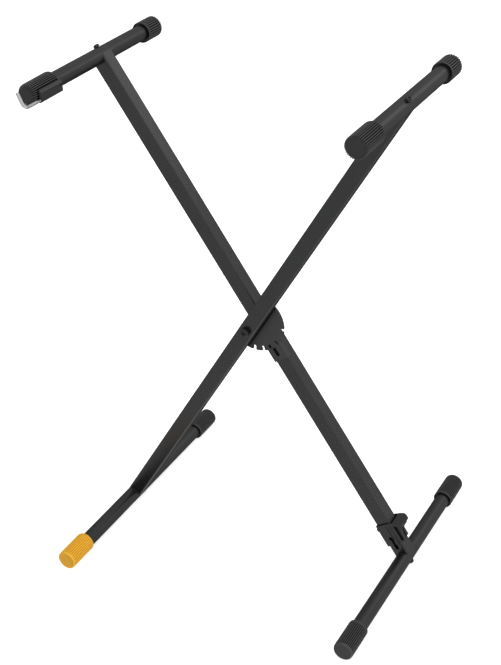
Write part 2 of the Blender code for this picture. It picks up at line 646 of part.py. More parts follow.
# ---- key clip on the left arm's near end, and the key it holds ----
def clip_outline():
    saddle = ARM_CAP_R + GAP
    points = [(19.9, 8.7), (22.4, 5.2), (23.2, 4.3), (23.2, -8.6), (22.2, -9.9), (19.6, -11.4)]
    for k in range(9):
        angle = math.radians(-40 + 67 * k / 8)
        r = saddle / math.cos(math.radians(67 / 16))
        points.append((r * math.cos(angle), r * math.sin(angle)))
    return points


def key_channel():
    out = Vector((KEY_X, KEY_Z)).normalized()
    side = Vector((-out.y, out.x))
    middle = Vector((KEY_X, KEY_Z))
    r = 2.95
    points = [middle + out * (r * math.cos(math.radians(a))) + side * (r * math.sin(math.radians(a)))
              for a in range(-90, 91, 15)]
    points += [middle - out * 5 + side * r, middle - out * 5 - side * r]
    return [(p.x, p.y) for p in points]


CLIP_SCREW_Y = -122.5
CLIP_SCREW_Z = 1.6
CLIP_SCREW_R = 1.4
CLIP_HOLE_R = CLIP_SCREW_R + GAP
clip = place("key_clip", prism(clip_outline(), CLIP_Y[0], CLIP_Y[1]), rear_top, moulded_black)
boolean(clip, cutter("key_channel_cut", prism(key_channel(), CLIP_Y[0] - 4, KEY_LONG_END_Y + 1.0), rear_top))
boolean(clip, round_cutter("clip_screw_hole", CLIP_HOLE_R, 10, 30, "X", rear_top, (0, CLIP_SCREW_Y, CLIP_SCREW_Z), sides=12))
boolean(clip, round_cutter("clip_screw_seat", 2.5, 21.3, 30, "X", rear_top, (0, CLIP_SCREW_Y, CLIP_SCREW_Z), sides=16))
boolean(left_near_cap, round_cutter("cap_clip_hole", CLIP_HOLE_R, 8, 22, "X", rear_top, (0, CLIP_SCREW_Y, CLIP_SCREW_Z), sides=12))
boolean(left_arm, round_cutter("arm_clip_hole", CLIP_HOLE_R, 5, 20, "X", rear_top, (0, CLIP_SCREW_Y, CLIP_SCREW_Z), sides=12))
place("key_clip_screw", turned(
    [(0, 8.5), (0.8, 8.5), (CLIP_SCREW_R, 10.0), (CLIP_SCREW_R, 21.6), (2.2, 21.6), (2.2, 22.5), (1.8, 23.0),
     (0, 23.0)], 16, "X"),
    rear_top, screw_black, (0, CLIP_SCREW_Y, CLIP_SCREW_Z))

key_axis = empty("hex_key_slide", (KEY_X, 0, KEY_Z), 0.0, rear_top)


def key_path():
    lean = math.radians(KEY_TURN)
    up = Vector((-math.sin(lean), 0, math.cos(lean)))
    along = Vector((0, 1, 0))
    corner = Vector((0, KEY_BEND_Y, 0))
    points = [corner + along * (KEY_LONG_END_Y - KEY_BEND_Y)]
    for k in range(7):
        angle = math.pi / 2 * k / 6
        points.append(corner + along * KEY_BEND_R * (1 - math.sin(angle)) + up * KEY_BEND_R * (1 - math.cos(angle)))
    points.append(corner + up * KEY_SHORT)
    return points, up


def key_body():
    points, up = key_path()
    side = Vector((0, 1, 0)).cross(up).normalized()
    radius = KEY_AF / 2 / math.cos(math.pi / 6)
    bm = bmesh.new()
    rings = []
    for k, point in enumerate(points):
        before = points[max(k - 1, 0)]
        after = points[min(k + 1, len(points) - 1)]
        run = (after - before).normalized()
        out = run.cross(side).normalized()
        rings.append([bm.verts.new(point + side * radius * math.cos(math.pi / 3 * j) + out * radius * math.sin(math.pi / 3 * j))
                      for j in range(6)])
    skin(bm, rings)
    bm.faces.new(rings[0])
    bm.faces.new(rings[-1])
    return bm


place("hex_key", key_body(), key_axis, bright_steel)
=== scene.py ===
"""Visual model of a folding X keyboard stand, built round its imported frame.

Shapes are laid out in millimetres in one of three local frames and stored in world metres:
FRONT along the front leg, REAR along the rear leg (local +Z up the leg, origin at the pivot),
and one upright frame on each round bar's axis.
"""

import math

import bmesh
import bpy
from mathutils import Matrix, Vector


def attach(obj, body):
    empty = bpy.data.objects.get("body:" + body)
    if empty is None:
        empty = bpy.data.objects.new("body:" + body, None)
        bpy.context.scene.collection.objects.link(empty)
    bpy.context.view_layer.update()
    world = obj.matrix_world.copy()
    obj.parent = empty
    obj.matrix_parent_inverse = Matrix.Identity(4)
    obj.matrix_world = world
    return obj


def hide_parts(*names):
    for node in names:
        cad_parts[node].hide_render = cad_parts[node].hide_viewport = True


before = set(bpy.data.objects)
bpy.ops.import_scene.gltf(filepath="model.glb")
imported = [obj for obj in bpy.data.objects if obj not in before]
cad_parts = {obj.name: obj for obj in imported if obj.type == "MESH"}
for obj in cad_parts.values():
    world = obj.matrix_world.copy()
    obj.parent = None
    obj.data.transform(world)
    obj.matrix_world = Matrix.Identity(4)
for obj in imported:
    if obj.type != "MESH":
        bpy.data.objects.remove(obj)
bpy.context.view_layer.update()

MM = 0.001
scene = bpy.context.scene

# ---- dimensions shared with the frame, millimetres ----
LEAN = math.radians(32.531)
TOP_LEN = 495.1
BASE_LEN = 490.9
BASE_CAP_R = 16.9
PIVOT_Z = BASE_LEN * math.cos(LEAN) + BASE_CAP_R
HALF = 13.2
LEG_Y = 20.5
BAR_R = 12.9
ARM_CAP_R = 17.4
FOOT_R = 17.3
PLATE_R = 53.0
PLATE_ROOT_R = 44.0
CROSS_Y = 12.6
CROSS_T = 428.0

PIVOT = Matrix.Translation((0, 0, PIVOT_Z * MM))
FRONT = PIVOT @ Matrix.Rotation(LEAN, 4, "Y")
REAR = PIVOT @ Matrix.Rotation(-LEAN, 4, "Y")


def on_bar(side, length):
    """Upright frame on a bar's axis: side is the leg's frame, length is signed along the leg."""
    return Matrix.Translation(side @ Vector((0, 0, length * MM)))


RIGHT_ARM = on_bar(FRONT, TOP_LEN)
LEFT_BASE = on_bar(FRONT, -BASE_LEN)
LEFT_ARM = on_bar(REAR, TOP_LEN)
RIGHT_BASE = on_bar(REAR, -BASE_LEN)


# =====================================================================
# Materials
# =====================================================================
def new_material(name):
    mat = bpy.data.materials.new(name)
    mat.use_nodes = True
    tree = mat.node_tree
    return mat, tree, tree.nodes["Principled BSDF"]


def add_noise(tree, coords, scale, detail=2.0, rough=0.5, stretch=None):
    noise = tree.nodes.new("ShaderNodeTexNoise")
    noise.inputs["Scale"].default_value = scale
    noise.inputs["Detail"].default_value = detail
    noise.inputs["Roughness"].default_value = rough
    source = coords.outputs["Object"]
    if stretch:
        mapping = tree.nodes.new("ShaderNodeMapping")
        mapping.inputs["Scale"].default_value = stretch
        tree.links.new(source, mapping.inputs["Vector"])
        source = mapping.outputs["Vector"]
    tree.links.new(source, noise.inputs["Vector"])
    return noise


def ramp(tree, source, low, high, start=0.3, stop=0.7):
    node = tree.nodes.new("ShaderNodeValToRGB")
    node.color_ramp.elements[0].position = start
    node.color_ramp.elements[0].color = (*low, 1) if isinstance(low, tuple) else (low, low, low, 1)
    node.color_ramp.elements[1].position = stop
    node.color_ramp.elements[1].color = (*high, 1) if isinstance(high, tuple) else (high, high, high, 1)
    tree.links.new(source, node.inputs["Fac"])
    return node


def surface(name, colour, rough, spread=0.05, vary=0.18, grain=900.0, bump=0.25, depth=0.00004,
            metal=0.0, specular=0.5, broad=28.0, stretch=None, dust=0.0):
    """A coated, moulded or plated surface: cloudy colour, fine grain in roughness and height."""
    mat, tree, shader = new_material(name)
    coords = tree.nodes.new("ShaderNodeTexCoord")
    cloud = add_noise(tree, coords, broad, 4.0, 0.55)
    fine = add_noise(tree, coords, grain, 2.0, 0.6, stretch)
    low = tuple(c * (1 - vary) for c in colour)
    high = tuple(min(1.0, c * (1 + vary) + dust) for c in colour)
    tint = ramp(tree, cloud.outputs["Fac"], low, high)
    tree.links.new(tint.outputs["Color"], shader.inputs["Base Color"])
    gloss = ramp(tree, fine.outputs["Fac"], max(0.02, rough - spread), min(1.0, rough + spread))
    tree.links.new(gloss.outputs["Color"], shader.inputs["Roughness"])
    relief = tree.nodes.new("ShaderNodeBump")
    relief.inputs["Strength"].default_value = bump
    relief.inputs["Distance"].default_value = depth
    tree.links.new(fine.outputs["Fac"], relief.inputs["Height"])
    tree.links.new(relief.outputs["Normal"], shader.inputs["Normal"])
    shader.inputs["Metallic"].default_value = metal
    shader.inputs["Specular IOR Level"].default_value = specular
    return mat


def paint_groove_shade(mat, tint, gloss):
    """Paints shade into the bottom of the moulded grooves: takes colour and gloss away there, as painted shade."""
    tree = mat.node_tree
    shader = tree.nodes["Principled BSDF"]
    # The 'groove' attribute is the mask of painted shade; it darkens the base colour and lowers the specular.
    cut = tree.nodes.new("ShaderNodeAttribute")
    cut.attribute_name = "groove"
    old = shader.inputs["Base Color"].links[0].from_socket
    mix = tree.nodes.new("ShaderNodeMix")
    mix.data_type = "RGBA"
    mix.blend_type = "MULTIPLY"
    mix.inputs[7].default_value = (*tint, 1)
    tree.links.new(cut.outputs["Fac"], mix.inputs[0])
    tree.links.new(old, mix.inputs[6])
    tree.links.new(mix.outputs[2], shader.inputs["Base Color"])
    shine = tree.nodes.new("ShaderNodeMapRange")
    shine.inputs["To Min"].default_value = shader.inputs["Specular IOR Level"].default_value
    shine.inputs["To Max"].default_value = gloss
    tree.links.new(cut.outputs["Fac"], shine.inputs["Value"])
    tree.links.new(shine.outputs["Result"], shader.inputs["Specular IOR Level"])


# Painted shadow: a dead, unreflecting black that stands in for the dark gap beside the front leg.
painted_shadow_black = surface("painted_shadow_black_matt", (0.0035, 0.0035, 0.0036), 0.8, spread=0.05, grain=900, bump=0.3, specular=0.12)
leg_coat = surface("leg_coat_satin", (0.0085, 0.0090, 0.0092), 0.26, grain=1100, bump=0.3, depth=0.00003)
bar_coat = surface("bar_coat_satin", (0.0085, 0.0088, 0.0090), 0.32, grain=1100, bump=0.3, depth=0.00003, specular=0.44)
plate_coat = surface("plate_coat_satin", (0.0095, 0.0098, 0.0100), 0.3, grain=1000, bump=0.4, depth=0.00004,
                     specular=0.62)
cap_rubber = surface("cap_rubber_black", (0.0132, 0.0132, 0.0132), 0.5, spread=0.08, grain=650, bump=0.5, depth=0.00006, dust=0.002,
                     specular=0.78)
foot_rubber = surface("foot_rubber_yellow", (0.78, 0.415, 0.027), 0.5, spread=0.07, vary=0.04, grain=600, bump=0.4, depth=0.00005,
                      specular=0.3)
screw_black = surface("screw_black_oxide", (0.006, 0.006, 0.0064), 0.24, spread=0.06, grain=1800, bump=0.3, specular=0.4)
bright_steel = surface("bright_plated_steel", (0.52, 0.52, 0.52), 0.2, spread=0.06, vary=0.04, grain=900, bump=0.15,
                       metal=1.0, stretch=(1, 0.05, 1))
zinc_steel = surface("zinc_plated_steel", (0.55, 0.56, 0.55), 0.33, spread=0.08, vary=0.08, grain=700, bump=0.3, metal=1.0)
moulded_black = surface("moulded_black_grained", (0.0080, 0.0082, 0.0084), 0.33, spread=0.06, grain=1500, bump=0.55, depth=0.00005)
# Painted shade in the grooves and on the flat ends of the black caps and the yellow foot; the foot's painted shade is a
# brownish darkening.
paint_groove_shade(cap_rubber, (0.15, 0.15, 0.155), 0.01)
paint_groove_shade(foot_rubber, (0.74, 0.58, 0.35), 0.1)
nylon = surface("nylon_natural", (0.62, 0.61, 0.57), 0.5, vary=0.05, grain=500, bump=0.3)


# =====================================================================
# Mesh helpers
# =====================================================================
def at(axis, a, b, h):
    return {"Y": (a, h, b), "Z": (a, b, h), "X": (h, a, b)}[axis]


def skin(bm, rings, loop=False):
    pairs = list(zip(rings, rings[1:] + rings[:1])) if loop else list(zip(rings, rings[1:]))
    for one, two in pairs:
        count = max(len(one), len(two))
        for k in range(count):
            n = (k + 1) % count
            corners = [one[k % len(one)], one[n % len(one)], two[n % len(two)], two[k % len(two)]]
            unique = []
            for vert in corners:
                if vert not in unique:
                    unique.append(vert)
            if len(unique) > 2:
                bm.faces.new(unique)


def turned(profile, sides=64, axis="Y", loop=False, centre=(0, 0), turn=0.0):
    """A turned body from (radius or function of angle, height[, dx, dz]) points."""
    bm = bmesh.new()
    rings = []
    for point in profile:
        radius, height = point[0], point[1]
        dx, dz = (point[2], point[3]) if len(point) > 2 else (0, 0)
        if not callable(radius) and radius == 0:
            rings.append([bm.verts.new(at(axis, centre[0] + dx, centre[1] + dz, height))])
            continue
        ring = []
        for k in range(sides):
            angle = 2 * math.pi * k / sides
            r = radius(angle) if callable(radius) else radius
            ring.append(bm.verts.new(at(axis, centre[0] + dx + r * math.sin(angle + turn),
                                        centre[1] + dz + r * math.cos(angle + turn), height)))
        rings.append(ring)
    skin(bm, rings, loop)
    return bm


def hexagon(across_flats):
    def radius(angle):
        inside = math.fmod(angle, math.pi / 3) - math.pi / 6
        return across_flats / 2 / math.cos(inside)

    return radius


def prism(outline, low, high, axis="Y"):
    bm = bmesh.new()
    rings = [[bm.verts.new(at(axis, a, b, h)) for a, b in outline] for h in (low, high)]
    skin(bm, rings)
    bm.faces.new(rings[0])
    bm.faces.new(rings[1])
    return bm


def rounded_square(half_a, half_b, radius, steps=6, centre=(0, 0), along=1):
    """Outline with round corners; the sides along the first axis are cut into 'along' lengths."""
    corners = []
    for ca, cb, start in ((1, 1, 0), (-1, 1, 90), (-1, -1, 180), (1, -1, 270)):
        arc = []
        for k in range(steps + 1):
            angle = math.radians(start + 90 * k / steps)
            arc.append((centre[0] + ca * (half_a - radius) + radius * math.cos(angle),
                        centre[1] + cb * (half_b - radius) + radius * math.sin(angle)))
        corners.append(arc)
    points = []
    for k, arc in enumerate(corners):
        points += arc
        if k % 2 == 0 and along > 1:
            start, stop = arc[-1], corners[(k + 1) % 4][0]
            points += [(start[0] + (stop[0] - start[0]) * j / along, start[1] + (stop[1] - start[1]) * j / along)
                       for j in range(1, along)]
    return points


def slot_outline(half_w, low, high, steps=8, centre=0.0):
    points = []
    for end, start in ((high - half_w, 0), (low + half_w, 180)):
        for k in range(steps + 1):
            angle = math.radians(start + 180 * k / steps)
            points.append((centre + half_w * math.cos(angle), end + half_w * math.sin(angle)))
    return points


def make(name, bm, matrix, mat=None, angle=35):
    bmesh.ops.recalc_face_normals(bm, faces=bm.faces[:])
    bmesh.ops.scale(bm, vec=(MM, MM, MM), verts=bm.verts[:])
    bmesh.ops.transform(bm, matrix=matrix, verts=bm.verts[:])
    mesh = bpy.data.meshes.new(name)
    bm.to_mesh(mesh)
    bm.free()
    obj = bpy.data.objects.new(name, mesh)
    scene.collection.objects.link(obj)
    if mat is not None:
        mesh.materials.append(mat)
        mesh.shade_smooth()
        mesh.set_sharp_from_angle(angle=math.radians(angle))
    return obj


def settle(obj, angle=35):
    """Turns the modifiers into plain mesh."""
    graph = bpy.context.evaluated_depsgraph_get()
    mesh = bpy.data.meshes.new_from_object(obj.evaluated_get(graph))
    obj.modifiers.clear()
    old = obj.data
    obj.data = mesh
    bpy.data.meshes.remove(old)
    mesh.shade_smooth()
    for face in mesh.polygons:
        if len(face.vertices) > 4:
            face.use_smooth = False
    mesh.set_sharp_from_angle(angle=math.radians(angle))
    return obj


def combine(obj, parts, operation="DIFFERENCE"):
    for other in parts:
        modifier = obj.modifiers.new(other.name, "BOOLEAN")
        modifier.object = other
        modifier.operation = operation
        modifier.solver = "EXACT"
    settle(obj)
    for other in parts:
        mesh = other.data
        bpy.data.objects.remove(other, do_unlink=True)
        bpy.data.meshes.remove(mesh)
    return obj


def flatten(obj, matrix, *more):
    """Shades faces that lie square to the frame's axes, or to another direction, as planes."""
    turn = matrix.to_3x3()
    ways = [turn @ Vector(way) for way in ((1, 0, 0), (0, 1, 0), (0, 0, 1), *more)]
    for face in obj.data.polygons:
        if any(abs(face.normal.dot(way)) > 0.9997 for way in ways):
            face.use_smooth = False
    return obj


def soften(obj, width, segments=2, angle=30, shade=35):
    """Rounds the edges, as every pressed, sawn or moulded edge is."""
    modifier = obj.modifiers.new("edge", "BEVEL")
    modifier.width = width * MM
    modifier.segments = segments
    modifier.limit_method = "ANGLE"
    modifier.angle_limit = math.radians(angle)
    modifier.use_clamp_overlap = True
    return settle(obj, shade)


def piece(obj, body, slot=None, *nodes):
    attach(obj, body)
    if nodes:
        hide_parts(*nodes)
    return obj


def cyl(name, radius, low, high, axis, matrix, centre=(0, 0), sides=40):
    return make(name, turned([(0, low), (radius, low), (radius, high), (0, high)], sides, axis, centre=centre), matrix)


# =====================================================================
# Legs
# =====================================================================
def leg_mesh(y):
    """Square tube whose ends are saddle-cut to sit on the round bars."""
    wall = 1.5
    cope = BAR_R + 0.12
    bm = bmesh.new()
    outer = rounded_square(HALF, HALF, 2.7, 8, (0, y), 14)
    inner = rounded_square(HALF - wall, HALF - wall, 1.3, 8, (0, y), 14)
    # The tube's length is cut into stretches, so that its shading stays even.
    stretches = [k / 12 for k in range(13)]

    def end(point, sign):
        saddle = math.sqrt(max(0.0, cope * cope - point[0] * point[0]))
        return sign * ((TOP_LEN if sign > 0 else BASE_LEN) - saddle)

    rings = []
    for s in stretches:
        rings.append([bm.verts.new((p[0], p[1], end(p, -1) * (1 - s) + end(p, 1) * s)) for p in outer])
    for s in reversed(stretches):
        rings.append([bm.verts.new((p[0], p[1], end(p, -1) * (1 - s) + end(p, 1) * s)) for p in inner])
    skin(bm, rings, loop=True)
    return bm


front_leg = make("front_leg", leg_mesh(-LEG_Y), FRONT, leg_coat, 28)
combine(front_leg, [cyl("pivot_bore_f", 5.9, -40, 0, "Y", FRONT)])
piece(front_leg, "front_frame", "leg_coat", "front_leg_tube")

rear_leg = make("rear_leg", leg_mesh(LEG_Y), REAR, leg_coat, 28)
combine(rear_leg, [
    cyl("pivot_bore_r", 6.8, 0, 40, "Y", REAR),
    make("lock_slot", prism(slot_outline(3.6, -70.8, -44.2), 5, 11.5), REAR),
    make("pedal_slot", prism(slot_outline(3.2, -472.0, -446.0), 5, 11.5), REAR),
    make("cross_slot", prism([(CROSS_Y + a, b) for a, b in slot_outline(2.8, -443.0, -425.0)], -17, 17, "X"), REAR),
])
piece(rear_leg, "rear_frame", "leg_coat", "rear_leg_tube")


# =====================================================================
# Round bars
# =====================================================================
def bar(name, matrix, low, high, hole_y, body, node):
    wall = 1.5
    count = 24
    outer = [(BAR_R, low + (high - low) * k / count) for k in range(count + 1)]
    inner = [(BAR_R - wall, high - (high - low) * k / count) for k in range(count + 1)]
    obj = make(name, turned(outer + inner, 96, "Y", loop=True), matrix, bar_coat, 40)
    lean = {"front_frame": FRONT, "rear_frame": REAR}[body]
    end = TOP_LEN if "arm" in name else -BASE_LEN
    combine(obj, [cyl(f"{name}_hole", 3.3, end - 20, end + 20, "Z", lean, (0, hole_y), 24)])
    return piece(obj, body, "bar_coat", node)


END = 3.3
bar("right_arm", RIGHT_ARM, -179.2 + END, 165.3 - END, -LEG_Y, "front_frame", "right_arm_tube")
left_arm = bar("left_arm", LEFT_ARM, -177.0 + END, 176.3 - END, LEG_Y, "rear_frame", "left_arm_tube")
bar("left_base", LEFT_BASE, -248.4 + END, 248.4 - END, -LEG_Y, "front_frame", "left_base_tube")
bar("right_base", RIGHT_BASE, -241.3 + END, 248.4 - END, LEG_Y, "rear_frame", "right_base_tube")


# =====================================================================
# Ribbed caps
# =====================================================================
# One rib and groove, as (place along the pitch, depth of the groove from 0 to 1).
RIB = [(0.0, 0.0), (0.11, 0.03), (0.20, 0.12), (0.27, 0.32), (0.31, 0.75), (0.35, 1.0), (0.5, 1.0),
       (0.65, 1.0), (0.69, 0.75), (0.73, 0.32), (0.80, 0.12), (0.89, 0.03)]


def ribbed_cap(name, matrix, radius, end_y, length, ribs, depth, rim, smooth_rim, mouth_r, mat,
               fade=1.6, shift=(0, 0), panel=0.0, bore=13.1, turn=0.0, taper=0.0, lip=1.1):
    """Cap from its closed end at end_y; length is signed towards the middle of the bar.

    rim is the closed end's rounding. smooth_rim is the unribbed stretch next to it, 0 where
    the ribs run out over the edge. fade is the unribbed stretch at the mouth.
    """
    sign = 1 if length > 0 else -1
    inner_y = end_y + length
    bm = bmesh.new()
    angles = [(2 * math.pi * (k + u) / ribs + turn, cut) for k in range(ribs) for u, cut in RIB]

    # The 'groove' layer is the mask of painted shade, strongest at the grooves' bottoms and set on the flat end.
    groove = bm.verts.layers.float.new("groove")

    def ring(r, y, strength, offset=shift):
        if strength:
            r *= 1 + taper * ((y - end_y) / length - 0.5)
        verts = []
        for a, cut in angles:
            vert = bm.verts.new((offset[0] + (r - depth * cut * strength) * math.sin(a), y,
                                 offset[1] + (r - depth * cut * strength) * math.cos(a)))
            vert[groove] = min(1.0, max(0.0, (cut * strength - 0.4) / 0.5))
            verts.append(vert)
        return verts

    rings = [[bm.verts.new((shift[0], end_y + sign * panel, shift[1]))]]
    # Painted shade: the flat end is painted darker and duller than the ribs' tops.
    face_shade = 0.3 if smooth_rim else 0.42
    if panel:
        edge = radius - rim - 1.0
        rings.append(ring(edge * 0.5, end_y + sign * panel, 0))
        rings.append(ring(edge - 0.5, end_y + sign * panel, 0))
        rings.append(ring(edge, end_y + sign * panel * 0.35, 0))
        rings.append(ring(edge + 0.4, end_y, 0))
    else:
        rings.append(ring((radius - rim) * 0.5, end_y, 0))
        rings.append(ring(radius * (1 - taper / 2) - rim - 0.5, end_y, 0))
    for row in rings:
        for vert in row:
            vert[groove] = face_shade
    outer = radius - (0.35 if smooth_rim else 0.0)
    steps = 6 if smooth_rim else 9
    for k in range(steps + 1):
        angle = math.radians(90 * k / steps)
        if smooth_rim:
            rings.append(ring(outer - rim + rim * math.sin(angle), end_y + sign * rim * (1 - math.cos(angle)), 0.0))
            continue
        verts = []
        share = 1 - taper / 2
        for a, cut in angles:
            d = depth * cut
            r = outer * share - rim + (rim - d) * math.sin(angle)
            y = end_y + sign * (rim - (rim - d) * math.cos(angle))
            vert = bm.verts.new((shift[0] + r * math.sin(a), y, shift[1] + r * math.cos(a)))
            vert[groove] = min(1.0, max(0.0, (cut - 0.4) / 0.5))
            verts.append(vert)
        rings.append(verts)
    if smooth_rim:
        rings.append(ring(outer, end_y + sign * (smooth_rim - 0.2), 0))
        rings.append(ring(radius, end_y + sign * (smooth_rim + 0.5), 0.75))
        rings.append(ring(radius, end_y + sign * (smooth_rim + 1.1), 1))
    for s in (0.25, 0.5, 0.75):
        rings.append(ring(radius, end_y + sign * (max(smooth_rim, rim) + 1.1) + (inner_y - end_y) * s * 0.8, 1))
    rings.append(ring(radius, inner_y - sign * (fade + 1.1), 1))
    rings.append(ring(radius, inner_y - sign * (fade + 0.5), 0.7))
    rings.append(ring(radius - 0.3, inner_y - sign * fade, 0.0))
    for k in range(1, 5):
        angle = math.radians(90 * k / 4)
        rings.append(ring(radius - 0.3 - lip + lip * math.cos(angle), inner_y - sign * (lip - lip * math.sin(angle)), 0))
    mouth = (0, 0)
    rings.append(ring(mouth_r + 0.3, inner_y, 0, mouth))
    rings.append(ring(mouth_r, inner_y - sign * 0.3, 0, mouth))
    rings.append(ring(mouth_r, inner_y - sign * 5.0, 0, mouth))
    rings.append(ring(bore, inner_y - sign * 5.0, 0, mouth))
    rings.append(ring(bore, end_y + sign * 3.0, 0, mouth))
    rings.append([bm.verts.new((0, end_y + sign * 3.0, 0))])
    skin(bm, rings)
    return make(name, bm, matrix, mat, 48)


def cap(name, matrix, radius, end_y, length, ribs, body, node, mat=cap_rubber, slot="cap_rubber", **look):
    settings = {"depth": 1.9, "rim": 2.1, "smooth_rim": 0.0, "mouth_r": 15.4}
    settings.update(look)
    obj = ribbed_cap(name, matrix, radius, end_y, length, ribs, settings.pop("depth"), settings.pop("rim"),
                     settings.pop("smooth_rim"), settings.pop("mouth_r"), mat, **settings)
    return piece(obj, body, slot, node)


ARM_NEAR_Y = -179.2
far_look = {"fade": 0.5, "rim": 2.0, "depth": 1.3, "mouth_r": 16.2, "lip": 0.45}
cap("right_arm_grip_near", RIGHT_ARM, ARM_CAP_R, ARM_NEAR_Y, 58.0, 33, "front_frame", "right_arm_cap_near", fade=0.8,
    rim=2.7)
cap("right_arm_grip_far", RIGHT_ARM, ARM_CAP_R, 165.3, -40.0, 28, "front_frame", "right_arm_cap_far", **far_look)
left_grip = cap("left_arm_grip_near", LEFT_ARM, ARM_CAP_R, -177.0, 61.8, 33, "rear_frame", "left_arm_cap_near",
                fade=0.8, rim=6.0, taper=0.03)
cap("left_arm_grip_far", LEFT_ARM, ARM_CAP_R, 176.3, -40.0, 28, "rear_frame", "left_arm_cap_far", **far_look)
base_look = {"rim": 2.6, "smooth_rim": 3.4, "mouth_r": 15.9, "depth": 1.5, "fade": 0.8, "lip": 0.45}
cap("left_base_grip_far", LEFT_BASE, BASE_CAP_R, 248.4, -60.5, 33, "front_frame", "left_base_cap_far", **base_look)
cap("right_base_grip_near", RIGHT_BASE, BASE_CAP_R, -241.3, 60.5, 33, "rear_frame", "right_base_cap_near", **base_look)
cap("right_base_grip_far", RIGHT_BASE, BASE_CAP_R, 248.4, -60.5, 33, "rear_frame", "right_base_cap_far", **base_look)
cap("levelling_foot", LEFT_BASE, FOOT_R, -248.4, 59.8, 28, "level_foot", "level_foot_cap", foot_rubber, "foot_rubber",
    rim=1.6, smooth_rim=3.2, mouth_r=14.2, depth=0.85, fade=0.9, shift=(-1.9, 0.4), panel=0.5)


# =====================================================================
# Screws, bolt and nut
# =====================================================================
def arc_points(r_from, h_from, r_to, h_to, steps, bulge):
    """A quarter-elliptic run from one (radius, height) to another."""
    points = []
    for k in range(steps + 1):
        t = math.pi / 2 * k / steps
        if bulge:
            points.append((r_to + (r_from - r_to) * math.cos(t), h_from + (h_to - h_from) * math.sin(t)))
        else:
            points.append((r_from + (r_to - r_from) * math.sin(t), h_to + (h_from - h_to) * math.cos(t)))
    return points


def screw(name, matrix, y, seat, up, body, node):
    """Domed screw with a hexagon socket. seat is the head's underside along the leg."""
    s = 1 if up else -1
    head = arc_points(5.25, 0.9, 2.7, 4.6, 9, True)
    profile = [(0, -32.0), (2.3, -32.0), (3.0, -31.2), (3.0, 0.0), (5.0, 0.0), (5.25, 0.25)] + head + [
        (hexagon(4.3), 4.6), (hexagon(4.0), 4.4), (hexagon(4.0), 1.6), (0, 1.1)]
    bm = turned([(r, h * s + seat) for r, h in profile], 48, "Z", centre=(0, y))
    obj = make(name, bm, matrix, screw_black, 40)
    return piece(obj, body, "screw_black", node)


SEAT = BAR_R + 0.4
screw("right_arm_fixing", FRONT, -LEG_Y, TOP_LEN + SEAT, True, "front_frame", "right_arm_screw")
screw("left_arm_fixing", REAR, LEG_Y, TOP_LEN + SEAT, True, "rear_frame", "left_arm_screw")
screw("left_base_fixing", FRONT, -LEG_Y, -BASE_LEN - SEAT, False, "front_frame", "left_base_screw")
screw("right_base_fixing", REAR, LEG_Y, -BASE_LEN - SEAT, False, "rear_frame", "right_base_screw")

head_y = -LEG_Y - HALF - 0.3
bolt_head = [(r, head_y - h) for r, h in [(7.2, 0.0), (7.5, 0.3)] + arc_points(7.5, 5.2, 5.4, 7.0, 8, True)]
bolt = make("pivot_bolt_body", turned(
    [(0, 44.9), (3.2, 44.9), (4.0, 44.1), (4.0, head_y)] + bolt_head +
    [(4.2, head_y - 7.0), (hexagon(6.3), head_y - 6.8), (hexagon(6.0), head_y - 6.4), (hexagon(6.0), head_y - 5.0),
     (0, head_y - 4.6)], 60, "Y"), FRONT, screw_black, 40)
piece(bolt, "front_frame", "screw_black", "pivot_bolt")

nut_low = LEG_Y + HALF + 2.2
nut = make("pivot_nut_body", turned(
    [(5.8, nut_low), (hexagon(13.0), nut_low + 0.6), (hexagon(13.0), nut_low + 6.0), (6.2, nut_low + 6.6),
     (5.9, nut_low + 6.6), (5.6, nut_low + 7.6), (4.35, nut_low + 7.6), (4.3, nut_low)], 48, "Y", loop=True), FRONT, zinc_steel, 30)
piece(nut, "front_frame", "zinc_steel", "pivot_lock_nut")

washer = make("pivot_rear_ring", turned(
    [(9.3, LEG_Y + HALF + 0.3), (9.5, LEG_Y + HALF + 0.5), (9.5, LEG_Y + HALF + 1.7), (9.3, LEG_Y + HALF + 1.9),
     (4.4, LEG_Y + HALF + 1.9), (4.4, LEG_Y + HALF + 0.3)], 60, "Y", loop=True), FRONT, zinc_steel, 40)
piece(washer, "front_frame", "zinc_steel", "pivot_rear_washer")


# =====================================================================
# Lock plate and its spacer
# =====================================================================
def polar(angle_deg, radius, across=0.0):
    angle = math.radians(angle_deg)
    return (radius * math.sin(angle) + across * math.cos(angle),
            -radius * math.cos(angle) + across * math.sin(angle))


def plate_outline():
    half, lip = 2.5, 1.1
    start = math.degrees(math.asin(-11.0 / PLATE_R))
    marks = [start]
    for middle in (28.5, 47.5, 2 * math.degrees(LEAN), 82.5, 100.5, 118.0):
        spread = math.degrees(math.asin((half + lip) / PLATE_R))
        marks += [middle - spread, middle + spread]
    marks.append(180 - start)
    points = []
    notches = (28.5, 47.5, 2 * math.degrees(LEAN), 82.5, 100.5, 118.0)
    for k in range(0, len(marks), 2):
        a, b = marks[k], marks[k + 1]
        count = max(2, round((b - a) / 2.5))
        points += [polar(a + (b - a) * j / count, PLATE_R) for j in range(count + 1)]
        if k + 2 < len(marks):
            middle = notches[k // 2]
            points.append(polar(middle, PLATE_R - 0.5, -half - 0.3))
            points.append(polar(middle, PLATE_R - 1.4, -half))
            for j in range(13):
                angle = math.pi * j / 12
                points.append(polar(middle, PLATE_ROOT_R + half - half * math.sin(angle), -half * math.cos(angle)))
            points.append(polar(middle, PLATE_R - 1.4, half))
            points.append(polar(middle, PLATE_R - 0.5, half + 0.3))
    return points


plate = make("notched_plate", prism(plate_outline(), -1.0, 2.0), FRONT, plate_coat)
combine(plate, [cyl("plate_bore", 4.3, -4, 12, "Y", FRONT)])
soften(plate, 0.28, 2, 40)
flatten(plate, FRONT)
piece(plate, "front_frame", "plate_coat", "lock_plate")

